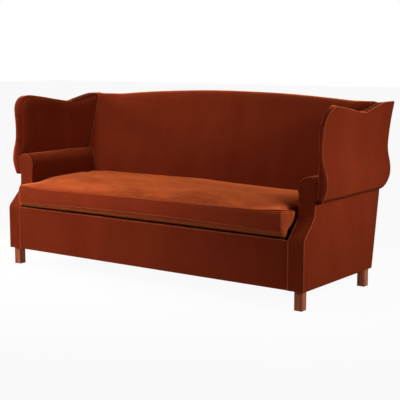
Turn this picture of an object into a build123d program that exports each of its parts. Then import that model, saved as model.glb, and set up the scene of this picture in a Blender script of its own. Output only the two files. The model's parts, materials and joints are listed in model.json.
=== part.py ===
from build123d import *
from math import cos, radians, sin, sqrt, tan
import os

# A three-seat high back settee: a hardwood frame, webbing, padding and velvet covers,
# a loose bench cushion and four square legs.  Lengths are in millimetres.
# While it is being built, y = 0 is the face of the front border and x = 0 is mid width.
# Left and right are as seen from in front.  At the end everything moves so that the
# origin lies on the floor under the middle of the whole settee.

# ---- driving sizes -------------------------------------------------------------------
base_width = 2000          # across the outside arm panels
base_depth = 725           # front border to outside back, at the lower edge
leg_height = 100           # floor to the lower edge of the covers
deck_height = 348          # floor to the top of the seat deck
back_rake = radians(9.65)  # lean of the outside back
back_crest = 1019          # highest point of the back, at mid width
crest_drop = 36            # how much lower the crest is at the wings
crest_arc_share = 0.84     # share of the width between the wings that the crest's arc takes
back_front = 632           # front border to the foot of the inside back
back_crest_thickness = 124 # of the back just under its crest
crest_lip = 30             # crest to the seam with the outside back
seam_room = 2              # free space at that seam
shoulder_round = 56        # crest to where the front rounding starts
bend_length = 88           # the inside back bends this far under the top of the arm
bend_run = 42              # how far back it has come at the end of the bend
slope_run = 112            # how far back it has come where the rounding starts
inner_corner_setback = 700
inner_corner = 960         # mid width to where the inside back meets a wing

arm_width = 90             # width of the arm facing on the base
scroll_radius = 64         # rolled top of the arm
scroll_height = 584        # floor to the middle of the roll
scroll_reach = 968         # mid width to the middle of the roll
neck_setback = 100         # how far the roll starts behind the front border
neck_height = 490          # where the sweep of the arm front becomes upright
neck_radius = 105
shoulder_height = 330      # where the sweep starts
shoulder_radius = 40
shoulder_lean = radians(45)

wing_front = 112           # front border to the front edge of the wing
wing_bottom = 527          # floor to the lower edge of the wing
wing_crest = 990           # top front corner of the wing
wing_dip = 944             # lowest point of its top edge
wing_waist = 1035          # mid width to the narrowest line of the outer face
wing_rear_waist = 1021     # the same at the rear edge of the wing
wing_waist_height = 770
wing_bulge = 30            # how far the lower roll stands out past the waist
wing_rear_bulge = 30
wing_bulge_height = 605
wing_flare = 38            # how far the top stands out past the waist
wing_rear_flare = 22
wing_flare_height = 1010
wing_tuck = 25             # how far the lower edge is drawn in from the bulge
wing_inner_waist = 1005    # mid width to the inner face at the waist, at the front
wing_inner_swing = 0.43    # share of the outer curve that the inner face follows
wing_corner_radius = 95
wing_dip_setback = 540     # front border to the dip
wing_rise_length = 215     # from the dip to where the top meets the back
wing_fall_share = 0.85     # share of the fall reached half a rise length before the dip
wing_frame_inset = 8
wing_frame_width = 50
wing_board = 14            # thickness of the shaped wing frame
wing_board_depth = 5       # outer face of the wing to its frame
wing_screw_shares = (0.3, 0.8) # of the height between the arm rail and the dip

cushion_overhang = 30      # cushion front past the front border
cushion_seam = 478         # floor to the top seam of the cushion
cushion_crown = 36         # swell of the cushion above its top seam
cushion_belly = 5          # swell of the front boxing
cushion_end_swell = 0.25   # share of the crown that is left at the ends
cushion_fullness = 5       # the higher, the nearer to the ends the crown falls off
ear_reach = 925            # mid width to the end of the cushion's ears
cushion_edge_draw = 8      # how much the ends are drawn in
cushion_edge_length = 16   # over what length
ear_root = 32              # how far the ears start inside the cushion
side_gap = 5               # cushion to the inside arm, and to the arm facing

leg_size = 44
leg_side_inset = 17
leg_front_inset = 16
leg_rear_inset = 10
glide_diameter = 26
glide_thickness = 2
bolt_diameter = 8
bolt_length = 110
bolt_in_leg = 50
plate_size = 56
plate_thickness = 2.4
plate_screw_diameter = 4
plate_screw_spacing = 48
plate_screw_length = 22

cover = 2.5                # velvet with its backing
gap = 0.3                  # free space between layers
dust_cover = 1.0
board = 28                 # rails of the frame
rail_top = 320             # floor to the top of the seat rails
post_width = 40
post_depth = 60
arm_post_setback = 145     # front border to the rear of the arm front post
arm_pad = 23               # padding on the inside arm
arm_panel = 6              # plywood behind it
arm_rail_height = 28
arm_rail_drop = 8          # top of the arm rail below the middle of the roll
strap_width = 50
strap_thickness = 2
seat_straps = 13
long_straps = 3
back_straps = 4
back_long_straps = 9
back_struts = 2
cross_rails = 3
cross_rail_height = 120
corner_block = 100
corner_block_height = 60
tack_rail_bottom = 400
tack_rail_height = 50
top_rail_height = 55
top_padding = 32           # padding above the back top rail
top_rail_room = 4          # from that padding down to the rail
zip_length = 1500
zip_width = 6
zip_thickness = 1.6
slider_length = 14
slider_width = 9
slider_thickness = 2
pull_length = 24
pull_width = 5.6
dowel_diameter = 10
dowel_length = 60
dowel_inset = 45           # from the edges of the seat rails
screw_diameter = 6
screw_length = 62
screw_head_diameter = 12
screw_head_height = 3


def rear(height, inset=0.0):
    """Where the outside back lies at a height, measured from the front border."""
    return base_depth + tan(back_rake) * (height - leg_height) - inset


# ---- places that follow from them ----------------------------------------------------
half_width = base_width / 2
layer = cover + gap
leg_top = leg_height + gap
dust_bottom = leg_top + plate_thickness + gap
frame_bottom = dust_bottom + dust_cover
rail_inner = half_width - layer - board
post_inner = rail_inner - post_width
post_front = layer + post_depth
crest_side = back_crest - crest_drop
post_top = crest_side - top_padding - top_rail_height
arm_inner = scroll_reach - scroll_radius
roll_end = rear(wing_bottom, post_front + gap)
facing_inner = half_width - arm_width
panel_bottom = rail_top + 3 * strap_thickness
roll_top = scroll_height + scroll_radius
arm_rail_top = scroll_height - arm_rail_drop
cushion_half = arm_inner - side_gap
cushion_bottom = deck_height + gap
cushion_rear = back_front - side_gap
cushion_front = -cushion_overhang
far = 2 * base_width       # longer than anything it cuts


def crest(x):
    """Height of the back's crest at a distance from mid width."""
    return back_crest - crest_drop * min(abs(x) / (crest_arc_share * inner_corner), 1) ** 2


def side_plate(edges, start, end):
    """A solid with an outline seen from the side, from one x to another."""
    face = Plane.YZ * make_face(edges)
    return Pos(start, 0, 0) * extrude(face, end - start)


def front_plate(sketch, start, end):
    """A solid with an outline seen from in front, from one y to another."""
    return Pos(0, end, 0) * extrude(Plane.XZ * sketch, end - start)


def block(x0, x1, y0, y1, z0, z1):
    """A box between two corners."""
    box = Box(x1 - x0, y1 - y0, z1 - z0)
    return Pos((x0 + x1) / 2, (y0 + y1) / 2, (z0 + z1) / 2) * box


def raked_slab(x0, x1, front_inset, rear_inset, z0, z1):
    """A board that lies along the outside back."""
    corners = [
        (rear(z0, front_inset), z0),
        (rear(z0, rear_inset), z0),
        (rear(z1, rear_inset), z1),
        (rear(z1, front_inset), z1),
    ]
    return side_plate(Polyline(*corners, close=True), x0, x1)


def both_sides(name, right):
    """A piece and its mirror image, each in its own node."""
    return {"right_" + name: right, "left_" + name: mirror(right, about=Plane.YZ)}


def mirrored_pair(right):
    """A piece and its mirror image, for one node."""
    return [right, mirror(right, about=Plane.YZ)]


# ---- arms ----------------------------------------------------------------------------
def behind_arm_front(inset, x0, x1):
    """All that lies more than an inset behind the swept arm front."""
    low = (shoulder_radius, shoulder_height)
    high = (neck_setback - neck_radius, neck_height)
    low_radius = shoulder_radius - inset
    high_radius = neck_radius + inset
    half_lean = shoulder_lean / 2

    def on_low(angle):
        return (low[0] - low_radius * cos(angle), low[1] + low_radius * sin(angle))

    def on_high(angle):
        return (high[0] + high_radius * cos(angle), high[1] - high_radius * sin(angle))

    top = roll_top + scroll_radius
    edges = [
        Line((inset, 0), on_low(0)),
        ThreePointArc(on_low(0), on_low(half_lean), on_low(shoulder_lean)),
        Line(on_low(shoulder_lean), on_high(shoulder_lean)),
        ThreePointArc(on_high(shoulder_lean), on_high(half_lean), on_high(0)),
        Line(on_high(0), (neck_setback + inset, top)),
        Line((neck_setback + inset, top), (far, top)),
        Line((far, top), (far, 0)),
        Line((far, 0), (inset, 0)),
    ]
    return side_plate(edges, x0, x1)


def facing_outline(inset):
    """The arm seen from in front: an upright with a round head."""
    height = scroll_height - leg_height
    upright = Rectangle(arm_width - 2 * inset, height, align=(Align.CENTER, Align.MIN))
    upright = Pos(half_width - arm_width / 2, leg_height) * upright
    head = Pos(scroll_reach, scroll_height) * Circle(scroll_radius - inset)
    return upright + head


def arm_front_layer(near, away, inset):
    """A layer of the arm front between two depths, inside the arm's outline."""
    layer_solid = front_plate(facing_outline(inset), -1, arm_post_setback)
    layer_solid &= behind_arm_front(near, arm_inner - 1, far)
    if away is None:
        return layer_solid
    return layer_solid - behind_arm_front(away, arm_inner - 2, far)


def roll_section(inset):
    """The rolled arm top and the inside arm below it, down to the deck."""
    roll = Pos(scroll_reach, scroll_height) * Circle(scroll_radius - inset)
    width = scroll_reach - arm_inner - inset
    height = scroll_height - deck_height - gap
    inner = Rectangle(width, height, align=(Align.MIN, Align.MAX))
    return roll + Pos(arm_inner + inset, scroll_height) * inner


def arm_space(grow):
    """The room that an arm takes up behind its facing."""
    section = roll_section(-grow)
    top = scroll_height - wing_bottom
    outer = Rectangle(arm_width + 2 * grow, 2 * top, align=(Align.MAX, Align.CENTER))
    section += Pos(half_width + grow, scroll_height - top) * outer
    behind = raked_slab(0, far, post_front, -far, 0, far)
    return front_plate(section, 0, far) - behind


def inside_arm_cover(back_space):
    """Velvet over the inside arm and round the roll, down to the outside arm."""
    width = half_width - arm_inner - cover
    under = Rectangle(width, scroll_radius, align=(Align.MAX, Align.MAX))
    under = Pos(half_width, scroll_height - scroll_radius / 2) * under
    foot = Rectangle(far, scroll_radius, align=(Align.MIN, Align.CENTER))
    skin = roll_section(0) - roll_section(cover) - under
    skin -= Pos(arm_inner + cover, deck_height) * foot
    start = neck_setback + layer
    skin_solid = front_plate(skin, start, roll_end)
    return largest(skin_solid - back_space)


def arm_padding(back_space):
    """Padding of the inside arm and the roll, round the arm's frame."""
    soft = roll_section(layer)
    below = Rectangle(far, far, align=(Align.MIN, Align.MAX))
    soft -= Pos(arm_inner + layer + arm_pad, arm_rail_top - arm_rail_height) * below
    rail_room = Rectangle(board + 2 * gap, arm_rail_height + 2 * gap)
    rail_middle = Pos(rail_inner + board / 2, arm_rail_top - arm_rail_height / 2)
    soft -= rail_middle * rail_room
    pad = front_plate(soft, arm_post_setback + gap, roll_end)
    return largest(pad - back_space)


def largest(shape):
    """The biggest solid of a shape, without crumbs."""
    return sorted(shape.solids(), key=lambda solid: solid.volume)[-1]


def arms(back_space):
    """Every piece of the two arms."""
    pieces = {}
    facing = arm_front_layer(0, cover, 0)
    pieces |= both_sides("arm_facing", largest(facing))
    post = arm_front_layer(layer, None, layer)
    post &= block(0, far, 0, far, frame_bottom, far)
    pieces |= both_sides("arm_front_post", largest(post))
    panel = block(half_width - cover, half_width, 0, far, leg_height, wing_bottom)
    panel &= behind_arm_front(layer, 0, far)
    panel -= raked_slab(0, far, layer, -far, 0, far)
    pieces |= both_sides("outside_arm_cover", largest(panel))
    pieces |= both_sides("inside_arm_cover", inside_arm_cover(back_space))
    pieces |= both_sides("arm_padding", arm_padding(back_space))
    rail = block(
        rail_inner, half_width - layer,
        arm_post_setback, far,
        arm_rail_top - arm_rail_height, arm_rail_top,
    )
    rail -= raked_slab(0, far, layer, -far, 0, far)
    pieces["arm_top_rails"] = mirrored_pair(largest(rail))
    panel_x = arm_inner + layer + arm_pad + gap
    inner_panel = block(
        panel_x, panel_x + arm_panel,
        arm_post_setback, back_front - gap,
        panel_bottom, arm_rail_top - arm_rail_height,
    )
    pieces["inside_arm_panels"] = mirrored_pair(inner_panel)
    return pieces


# ---- back ----------------------------------------------------------------------------
def back_front_edges(x, inset):
    """The inside back from its foot up over the crest, as seen from the side."""
    top = crest(x) - inset
    lip_height = crest(x) - crest_lip
    front = back_front + inset
    foot = (front, deck_height + gap)
    bend_start = (front, roll_top - bend_length)
    bend = (front + bend_run / 4, roll_top)
    bend_end = (front + bend_run, roll_top + bend_length * 0.75)
    slope_end = (front + slope_run, crest(x) - shoulder_round)
    summit = (rear(top) - back_crest_thickness / 2, top)
    lip = (rear(lip_height, inset), lip_height)
    return [
        Line(foot, bend_start),
        ThreePointArc(bend_start, bend, bend_end),
        Line(bend_end, slope_end),
        ThreePointArc(slope_end, summit, lip),
    ]


def back_stations():
    """The widths at which the back's shape is drawn."""
    half = (0, 0.35, 0.7, 1)
    shares = [-1] + [-crest_arc_share * share for share in half[::-1]]
    shares += [crest_arc_share * share for share in half[1:]] + [1]
    return [share * (inner_corner - gap) for share in shares]


def back_loft(inset, corners_at):
    """A solid that runs across the back behind its inset front surface."""
    faces = []
    for x in back_stations():
        edges = back_front_edges(x, inset)
        ends = [edges[-1] @ 1] + corners_at(x) + [edges[0] @ 0]
        closing = [Line(a, b) for a, b in zip(ends, ends[1:])]
        faces.append(Pos(x, 0, 0) * (Plane.YZ * make_face(edges + closing)))
    return loft(faces, ruled=True)


def back_space(grow):
    """The whole room of the back between the wings."""
    def corners(x):
        return [(far / 2, crest(x) - crest_lip), (far / 2, deck_height + gap)]
    return back_loft(-grow, corners)


def back_padding():
    """Padding of the inside back, over the top rail and down behind it."""
    rear_of_pad = post_front + 2 * strap_thickness + gap

    def corners(x):
        seat = crest(x) - top_padding
        foot = deck_height + gap
        return [
            (rear(seat, layer), seat),
            (rear(seat, rear_of_pad), seat),
            (rear(foot, rear_of_pad), foot),
        ]
    return back_loft(layer, corners)


def inside_back_cover():
    """Velvet on the inside back, turned over the crest."""
    faces = []
    for x in back_stations():
        outer = back_front_edges(x, 0)
        inner = back_front_edges(x, cover)
        ends = [Line(outer[0] @ 0, inner[0] @ 0), Line(outer[-1] @ 1, inner[-1] @ 1)]
        faces.append(Pos(x, 0, 0) * (Plane.YZ * make_face(outer + inner + ends)))
    return loft(faces, ruled=True)


def crest_outline(half, below, drop):
    """Seen from in front: all between a height and an arc under the crest."""
    reach = crest_arc_share * inner_corner
    radius = (reach ** 2 + crest_drop ** 2) / (2 * crest_drop)

    def arc_height(x):
        return back_crest - drop - radius + sqrt(radius ** 2 - x ** 2)

    left = (-half, arc_height(half))
    right = (half, arc_height(half))
    edges = [
        ThreePointArc(left, (0, arc_height(0)), right),
        Line(right, (half, below)),
        Line((half, below), (-half, below)),
        Line((-half, below), left),
    ]
    return make_face(edges)


def back():
    """Every piece of the back, apart from its fasteners."""
    pieces = {}
    pieces["inside_back_cover"] = largest(inside_back_cover())
    pieces["back_padding"] = largest(back_padding())
    cover_top = crest_outline(inner_corner - gap, wing_bottom - 1, crest_lip + seam_room)
    cover_top = front_plate(cover_top, 0, far)
    cover_foot = block(-half_width + gap, half_width - gap, 0, far, leg_height, wing_bottom)
    skin = raked_slab(-far, far, cover, 0, leg_height, back_crest)
    pieces["outside_back_cover"] = largest(skin & (cover_top + cover_foot))
    post = raked_slab(post_inner, rail_inner, post_front, layer, frame_bottom, post_top)
    pieces |= both_sides("back_post", post)
    rail = raked_slab(-far, far, post_front, layer, 0, far)
    rail &= front_plate(crest_outline(rail_inner, post_top, top_padding + top_rail_room), 0, far)
    pieces["back_top_rail"] = largest(rail)
    tack_rail_top = tack_rail_bottom + tack_rail_height
    tack_rail = (post_front, post_front - board)
    pieces["back_tack_rail"] = raked_slab(
        -post_inner, post_inner, *tack_rail, tack_rail_bottom, tack_rail_top
    )
    struts = []
    for number in range(back_struts):
        middle = post_inner * (2 * (number + 1) / (back_struts + 1) - 1)
        ends = (middle - post_width / 2, middle + post_width / 2)
        struts.append(raked_slab(*ends, *tack_rail, tack_rail_top, post_top))
    pieces["back_struts"] = struts
    pieces["back_webbing"] = back_webbing(tack_rail_bottom)
    return pieces


def back_webbing(bottom):
    """Upright straps on the rails, and level straps over them on the posts."""
    straps = []
    near = post_front + strap_thickness
    top = post_top + strap_width
    for number in range(back_long_straps):
        middle = post_inner * (2 * (number + 0.5) / back_long_straps - 1)
        ends = (middle - strap_width / 2, middle + strap_width / 2)
        straps.append(raked_slab(*ends, near, post_front, bottom, top))
    step = (post_top - bottom - tack_rail_height) / back_straps
    for number in range(back_straps):
        height = bottom + tack_rail_height + step * (number + 0.5)
        levels = (height - strap_width / 2, height + strap_width / 2)
        insets = (near + strap_thickness, near)
        straps.append(raked_slab(gap - inner_corner, inner_corner - gap, *insets, *levels))
    return straps


# ---- wings ---------------------------------------------------------------------------
def inside_outer_face(inset):
    """All that lies more than an inset inside the curved outer face of the wing."""
    low = wing_bottom
    middle = (wing_bulge_height + wing_waist_height) / 2
    high = wing_flare_height
    at_rear = (wing_rear_waist, wing_rear_bulge, wing_rear_flare)
    stations = [
        (0, wing_waist, wing_bulge, wing_flare),
        (rear(wing_crest), *at_rear),
        (far, *at_rear),
    ]
    sections = []
    for y, waist, swell, flare in stations:
        base = waist - inset
        bulge = base + swell
        tuck = bulge - wing_tuck
        turn = (base + swell / 2, middle)
        edges = [
            Line((0, 0), (tuck, 0)),
            Line((tuck, 0), (tuck, low)),
            ThreePointArc(
                (tuck, low),
                (bulge - wing_tuck / 4, (low + wing_bulge_height) / 2),
                (bulge, wing_bulge_height),
            ),
            ThreePointArc(
                (bulge, wing_bulge_height),
                (bulge - swell / 8, (wing_bulge_height + middle) / 2),
                turn,
            ),
            ThreePointArc(
                turn,
                (base + swell / 8, (wing_waist_height + middle) / 2),
                (base, wing_waist_height),
            ),
            ThreePointArc(
                (base, wing_waist_height),
                (base + flare / 4, (wing_waist_height + high) / 2),
                (base + flare, high),
            ),
            Line((base + flare, high), (base + flare, far)),
            Line((base + flare, far), (0, far)),
            Line((0, far), (0, 0)),
        ]
        sections.append(Pos(0, y, 0) * (Plane.XZ * make_face(edges)))
    return loft(sections, ruled=True)


def outside_inner_face(inset):
    """All that lies more than an inset outside the wing's inner face."""
    high = wing_flare_height
    middle = (wing_bulge_height + wing_waist_height) / 2
    upper = (wing_waist_height + high) / 2
    curve = [
        (wing_bulge, 0),
        (wing_bulge, wing_bulge_height),
        (wing_bulge / 2, middle),
        (0, wing_waist_height),
        (wing_flare / 4, upper),
        (wing_flare, high),
        (wing_flare, far),
    ]
    sections = []
    stations = [
        (0, wing_inner_waist, wing_inner_swing),
        (inner_corner_setback, inner_corner, 0),
        (far, inner_corner, 0),
    ]
    for y, waist, swing in stations:
        points = [(waist + inset + swing * x, z) for x, z in curve]
        points += [(far, far), (far, 0)]
        outline = make_face(Polyline(*points, close=True))
        sections.append(Pos(0, y, 0) * (Plane.XZ * outline))
    return loft(sections, ruled=True)


def wing_outline(ahead, under, behind):
    """The wing seen from the side, drawn in at its front and top, foot and rear."""
    front = wing_front + ahead
    top = wing_crest - ahead
    corner = wing_corner_radius
    bend = corner * (1 - cos(radians(45)))
    sweep_start = (front + corner, top)
    dip = (wing_dip_setback, wing_dip - ahead)
    end_height = crest_side - ahead
    rise_end = (wing_dip_setback + wing_rise_length, end_height)
    fall = (wing_crest - wing_dip) * wing_fall_share
    half_rise = wing_rise_length / 2
    edges = [
        Line((front, wing_bottom + under), (front, top - corner)),
        ThreePointArc((front, top - corner), (front + bend, top - bend), sweep_start),
        Spline(
            sweep_start,
            (dip[0] - half_rise, top - fall),
            dip,
            (dip[0] + half_rise, (dip[1] + end_height) / 2),
            rise_end,
            tangents=((1, -0.1), (1, 0)),
        ),
        Line(rise_end, (rear(end_height, behind), end_height)),
        Line(
            (rear(end_height, behind), end_height),
            (rear(wing_bottom + under, behind), wing_bottom + under),
        ),
        Line(
            (rear(wing_bottom + under, behind), wing_bottom + under),
            (front, wing_bottom + under),
        ),
    ]
    return side_plate(edges, 0, far)


def wings():
    """Every piece of the two wings."""
    pieces = {}
    arm = arm_space(gap)
    loose = wing_frame_width   # drawn out so far that nothing is left at that edge
    behind_post = post_front + gap
    inner_face = outside_inner_face(0)
    under_cover = outside_inner_face(layer)
    outer_face = inside_outer_face(0)
    under_skin = inside_outer_face(layer)
    board_outside = inside_outer_face(wing_board_depth)
    board_inside = inside_outer_face(wing_board_depth + wing_board)

    skin = outer_face & wing_outline(0, 0, 0)
    skin -= block(0, inner_corner + gap, 0, far, 0, far)
    skin -= inside_outer_face(cover) & wing_outline(-loose, cover, cover)
    skin -= raked_slab(0, half_width, far, layer, 0, far)
    pieces |= both_sides("outside_wing_cover", largest(skin - arm))

    lining = inner_face - outside_inner_face(cover)
    lining &= wing_outline(0, layer, behind_post)
    pieces |= both_sides("inside_wing_cover", largest(lining - arm))

    border = wing_outline(0, layer, layer) - wing_outline(cover, -loose, -loose)
    border = border & under_cover & under_skin
    pieces |= both_sides("wing_border", largest(border - arm))

    frame = board_outside - board_inside
    frame &= wing_outline(wing_frame_inset, layer, layer)
    frame -= wing_outline(wing_frame_inset + wing_frame_width, -loose, -loose)
    corner = block(
        0, far,
        0, wing_front + 2 * wing_corner_radius,
        0, wing_crest - wing_corner_radius,
    )
    upright = frame & corner
    pieces["wing_front_uprights"] = mirrored_pair(largest(upright - arm))
    pieces["wing_top_rails"] = mirrored_pair(largest(frame - corner - arm))

    inner_pad = under_cover & inside_outer_face(wing_board_depth + wing_board + gap)
    inner_pad &= wing_outline(layer, layer, behind_post)
    pieces |= both_sides("inner_wing_padding", largest(inner_pad - arm))

    upright_outer = wing_rear_waist - wing_board_depth - wing_board
    rear_upright = raked_slab(
        rail_inner, upright_outer, post_front, layer, arm_rail_top, wing_dip - layer
    )
    rear_upright &= wing_outline(layer, layer, 0)
    pieces["wing_rear_uprights"] = mirrored_pair(rear_upright)
    return pieces


# ---- base ----------------------------------------------------------------------------
def base():
    """Rails, blocks, webbing, the deck and the covers round them."""
    pieces = {}
    rear_face = raked_slab(-far, far, layer, -far, 0, far)
    rail_face = raked_slab(-far, far, layer + board, -far, 0, far)
    facing_gap = facing_inner - gap
    post_side = facing_inner + layer
    pieces["front_border_cover"] = block(
        -facing_gap, facing_gap, 0, cover, leg_height, deck_height - layer
    )
    pieces["front_rail"] = block(
        -post_side, post_side, layer, layer + board, frame_bottom, rail_top
    )
    pieces["rear_rail"] = raked_slab(
        -post_inner, post_inner, layer + board, layer, frame_bottom, rail_top
    )
    side_rail = block(
        rail_inner, half_width - layer, arm_post_setback, far, frame_bottom, rail_top
    )
    pieces |= both_sides("side_rail", side_rail - rear_face)
    rails = []
    for number in range(cross_rails):
        middle = post_inner * (2 * (number + 1) / (cross_rails + 1) - 1)
        rail = block(
            middle - board / 2, middle + board / 2,
            layer + board, far,
            frame_bottom, frame_bottom + cross_rail_height,
        )
        rails.append(rail - rail_face)
    pieces["cross_rails"] = rails
    pieces["corner_blocks"] = corner_blocks(rail_face)
    pieces["seat_webbing"] = seat_webbing(rear_face)
    deck_rear = back_front + post_depth
    deck_low = rail_top + 2 * strap_thickness + gap
    pieces["deck_padding"] = block(
        -facing_gap, facing_gap, layer, deck_rear, deck_low, deck_height - layer
    )
    pieces["seat_deck_cover"] = block(
        -facing_gap, facing_gap, layer, deck_rear, deck_height - cover, deck_height
    )
    dust = block(
        layer - half_width, half_width - layer, layer, far, dust_bottom, frame_bottom
    )
    pieces["dust_cover"] = dust - rear_face
    return pieces


def corner_blocks(rail_face):
    """Glued triangular blocks inside the four corners of the base."""
    blocks = []
    low = rail_top - corner_block_height
    for side in (-1, 1):
        front_x = side * (facing_inner + layer)
        rear_x = side * post_inner
        front_y = layer + board
        rear_y = rear(rail_top, layer + board)
        for x, y, step in ((front_x, front_y, 1), (rear_x, rear_y, -1)):
            corners = [(x, y), (x - side * corner_block, y), (x, y + step * corner_block)]
            outline = make_face(Polyline(*corners, close=True))
            blocks.append(Pos(0, 0, low) * extrude(outline, corner_block_height, dir=(0, 0, 1)))
    return [piece - rail_face for piece in blocks]


def seat_webbing(rear_face):
    """Long straps on the side rails, and short straps over them, front to rear."""
    straps = []
    step = (back_front - layer) / long_straps
    for number in range(long_straps):
        middle = arm_post_setback / 2 + step * (number + 0.5)
        straps.append(block(
            layer - half_width, half_width - layer,
            middle - strap_width / 2, middle + strap_width / 2,
            rail_top, rail_top + strap_thickness,
        ))
    over = rail_top + strap_thickness
    for number in range(seat_straps):
        middle = post_inner * (2 * (number + 0.5) / seat_straps - 1)
        strap = block(
            middle - strap_width / 2, middle + strap_width / 2,
            layer, far,
            over, over + strap_thickness,
        )
        straps.append(strap - rear_face)
    return straps


# ---- legs ----------------------------------------------------------------------------
def leg_places():
    """The middle of each leg, by name."""
    x = half_width - leg_side_inset - leg_size / 2
    front_y = leg_front_inset + leg_size / 2
    rear_y = base_depth - leg_rear_inset - leg_size / 2
    return {
        "front_left_leg": (-x, front_y),
        "front_right_leg": (x, front_y),
        "rear_left_leg": (-x, rear_y),
        "rear_right_leg": (x, rear_y),
    }


def standing_cylinder(x, y, diameter, bottom, top):
    """An upright round piece."""
    shape = Cylinder(diameter / 2, top - bottom)
    return Pos(x, y, (top + bottom) / 2) * shape


def legs():
    """Legs with their glides, plates, bolts and screws, and the holes for these."""
    pieces = {}
    plates = []
    bolts = []
    screws = []
    glides = []
    holes = []
    plate_top = leg_top + plate_thickness
    bolt_bottom = leg_top - bolt_in_leg
    bolt_top = bolt_bottom + bolt_length
    for name, (x, y) in leg_places().items():
        bolt_hole = standing_cylinder(
            x, y, bolt_diameter + 2 * gap, bolt_bottom - gap, bolt_top + gap
        )
        holes.append(bolt_hole)
        bolts.append(standing_cylinder(x, y, bolt_diameter, bolt_bottom, bolt_top))
        leg = block(
            x - leg_size / 2, x + leg_size / 2,
            y - leg_size / 2, y + leg_size / 2,
            glide_thickness, leg_top,
        )
        pieces[name] = leg - bolt_hole
        glides.append(standing_cylinder(x, y, glide_diameter, 0, glide_thickness))
        plate = block(
            x - plate_size / 2, x + plate_size / 2,
            y - plate_size / 2, y + plate_size / 2,
            leg_top, plate_top,
        )
        reach = plate_screw_spacing / 2
        for x_side in (-reach, reach):
            for y_side in (-reach, reach):
                place = (x + x_side, y + y_side)
                screw_bottom = leg_top - gap
                screw_top = screw_bottom + plate_screw_length
                screws.append(standing_cylinder(
                    *place, plate_screw_diameter, screw_bottom, screw_top
                ))
                holes.append(standing_cylinder(
                    *place, plate_screw_diameter + 2 * gap, 0, screw_top + gap
                ))
        plates.append(plate)
    for number, plate in enumerate(plates):
        for hole in holes:
            plate -= hole
        plates[number] = plate
    pieces["leg_plates"] = plates
    pieces["leg_bolts"] = bolts
    pieces["leg_plate_screws"] = screws
    pieces["leg_glides"] = glides
    return pieces, holes


# ---- frame fasteners -----------------------------------------------------------------
def lying_cylinder(place, along_x, diameter, length):
    """A round piece that lies along X or Y, centred on a place."""
    shape = Cylinder(diameter / 2, length)
    turn = Rot(0, 90, 0) if along_x else Rot(90, 0, 0)
    return Pos(*place) * turn * shape


def frame_fasteners():
    """Dowels and screws of the frame, and the holes for them."""
    levels = (frame_bottom + dowel_inset, rail_top - dowel_inset)
    rail_middle = rail_inner + board / 2
    post_side = facing_inner + layer
    arm_level = arm_rail_top - arm_rail_height / 2
    tack_level = tack_rail_bottom + tack_rail_height / 2
    dowels_along_x = [(post_inner, rear(tack_level, post_front) + board / 2, tack_level)]
    dowels_along_y = [(rail_middle, arm_post_setback, arm_level)]
    screw_levels = [(half_width - layer, arm_level)]
    upright_face = wing_rear_waist - wing_board_depth - wing_board
    for share in wing_screw_shares:
        level = arm_rail_top + share * (wing_dip - arm_rail_top)
        screw_levels.append((upright_face, level))
    for level in levels:
        dowels_along_x.append((post_side, layer + board / 2, level))
        dowels_along_x.append((post_inner, rear(level, layer + board / 2), level))
        dowels_along_y.append((rail_middle, arm_post_setback, level))
        screw_levels.append((half_width - layer, level))
    dowels = []
    holes = []
    for places, along_x in ((dowels_along_x, True), (dowels_along_y, False)):
        for place in places:
            dowels.append(lying_cylinder(place, along_x, dowel_diameter, dowel_length))
            holes.append(lying_cylinder(
                place, along_x, dowel_diameter + 2 * gap, dowel_length + 2 * gap
            ))
    screws = []
    for face, level in screw_levels:
        depth = rear(level, layer + post_depth / 2)
        shank = (face - screw_length / 2, depth, level)
        head = (face - screw_head_height / 2, depth, level)
        screws.append(
            lying_cylinder(shank, True, screw_diameter, screw_length)
            + lying_cylinder(head, True, screw_head_diameter, screw_head_height)
        )
        holes.append(
            lying_cylinder(shank, True, screw_diameter + 2 * gap, screw_length + 2 * gap)
            + lying_cylinder(
                head, True, screw_head_diameter + 2 * gap, screw_head_height + 2 * gap
            )
        )
    pieces = {
        "frame_dowels": [one for dowel in dowels for one in mirrored_pair(dowel)],
        "frame_screws": [one for screw in screws for one in mirrored_pair(screw)],
    }
    return pieces, [one for hole in holes for one in mirrored_pair(hole)]


def drill(pieces, names, holes):
    """Cuts every hole into each named piece that it meets."""
    for name in names:
        shape = pieces[name]
        solids = shape if isinstance(shape, list) else [shape]
        drilled = []
        for solid in solids:
            for hole in holes:
                solid = solid - hole
            drilled.append(solid)
        pieces[name] = drilled


# ---- cushion -------------------------------------------------------------------------
def cushion_body(inset):
    """The part of the cushion between the arms: crowned, with drawn-in ends."""
    half = cushion_half - inset
    edge = cushion_edge_length / half
    shares = (-1, edge - 1, -0.9, -0.75, -0.5, 0, 0.5, 0.75, 0.9, 1 - edge, 1)
    faces = []
    for share in shares:
        draw = cushion_edge_draw * (abs(share) == 1)
        swell = 1 - (1 - cushion_end_swell) * abs(share) ** cushion_fullness
        low = cushion_bottom + inset + draw / 4
        seam = cushion_seam - inset - draw
        front = cushion_front + inset + draw
        end = cushion_rear - inset - draw / 2
        middle = (front + end) / 2
        waist = (low + seam) / 2
        edges = [
            Line((end, low), (front, low)),
            ThreePointArc((front, low), (front - cushion_belly, waist), (front, seam)),
            ThreePointArc((front, seam), (middle, seam + cushion_crown * swell), (end, seam)),
            Line((end, seam), (end, low)),
        ]
        faces.append(Pos(half * share, 0, 0) * (Plane.YZ * make_face(edges)))
    return loft(faces, ruled=True)


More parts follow.
